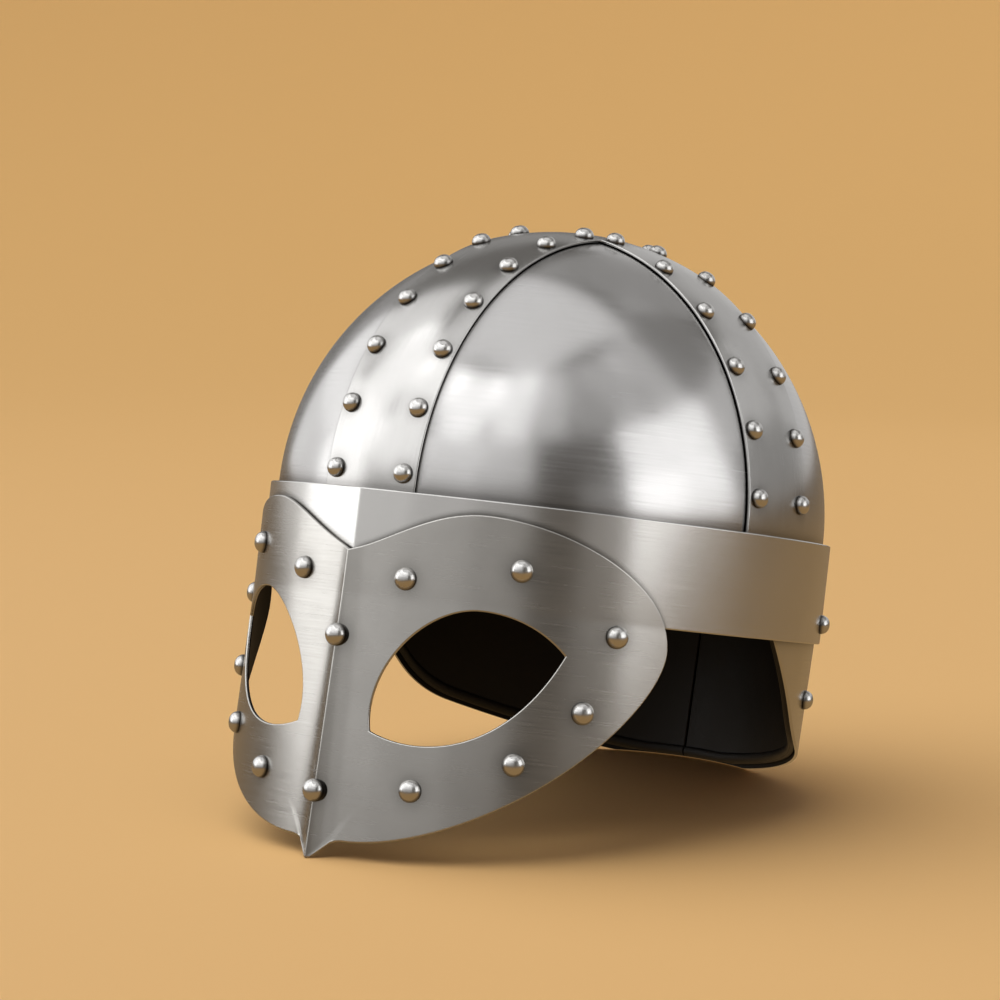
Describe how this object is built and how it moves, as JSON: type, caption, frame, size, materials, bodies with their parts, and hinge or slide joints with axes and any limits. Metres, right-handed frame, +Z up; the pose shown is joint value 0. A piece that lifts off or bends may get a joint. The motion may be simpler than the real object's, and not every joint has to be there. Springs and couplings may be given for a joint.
{
  "type": "viking spectacle helmet",
  "caption": "Round steel helmet with a riveted cross band, brow band, spectacle-shaped eye guard with a nose ridge, and a leather-lined neck guard; worn to protect the head.",
  "frame": {"origin": "on the floor, under the middle of the helmet's bounding box as it stands by itself on its nose tip and neck guard", "axes": "+Z up, -Y towards the front of the face, +X towards the wearer's left"},
  "size_m": [0.207, 0.2674, 0.2213],
  "materials": {
    "panel_steel": "satin polished",
    "band_steel": "satin brushed",
    "guard_steel": "satin brushed, bright edges",
    "rivet_steel": "polished",
    "lining_leather": "smooth, black"
  },
  "bodies": {
    "root": {"panel_front_left": "panel_steel", "panel_front_right": "panel_steel", "panel_back_left": "panel_steel", "panel_back_right": "panel_steel", "cross_band": "band_steel", "brow_band": "band_steel", "eye_guard": "guard_steel", "neck_guard": "band_steel", "neck_lining_left": "lining_leather", "neck_lining_right": "lining_leather", "rivet_bridge": "rivet_steel", "rivet_nose": "rivet_steel", "rivet_nose_side_left": "rivet_steel", "rivet_nose_side_right": "rivet_steel", "rivet_brow_left": "rivet_steel", "rivet_brow_right": "rivet_steel", "rivet_temple_left": "rivet_steel", "rivet_temple_right": "rivet_steel", "rivet_cheek_left": "rivet_steel", "rivet_cheek_right": "rivet_steel", "rivet_under_eye_left": "rivet_steel", "rivet_under_eye_right": "rivet_steel", "rivet_nose_root_left": "rivet_steel", "rivet_nose_root_right": "rivet_steel", "rivet_neck_upper_side_left": "rivet_steel", "rivet_neck_upper_side_right": "rivet_steel", "rivet_neck_upper_quarter_left": "rivet_steel", "rivet_neck_upper_quarter_right": "rivet_steel", "rivet_neck_upper_back_left": "rivet_steel", "rivet_neck_upper_back_right": "rivet_steel", "rivet_neck_lower_side_left": "rivet_steel", "rivet_neck_lower_side_right": "rivet_steel", "rivet_neck_lower_quarter_left": "rivet_steel", "rivet_neck_lower_quarter_right": "rivet_steel", "rivet_neck_lower_back_left": "rivet_steel", "rivet_neck_lower_back_right": "rivet_steel"}
  },
  "joints": []
}
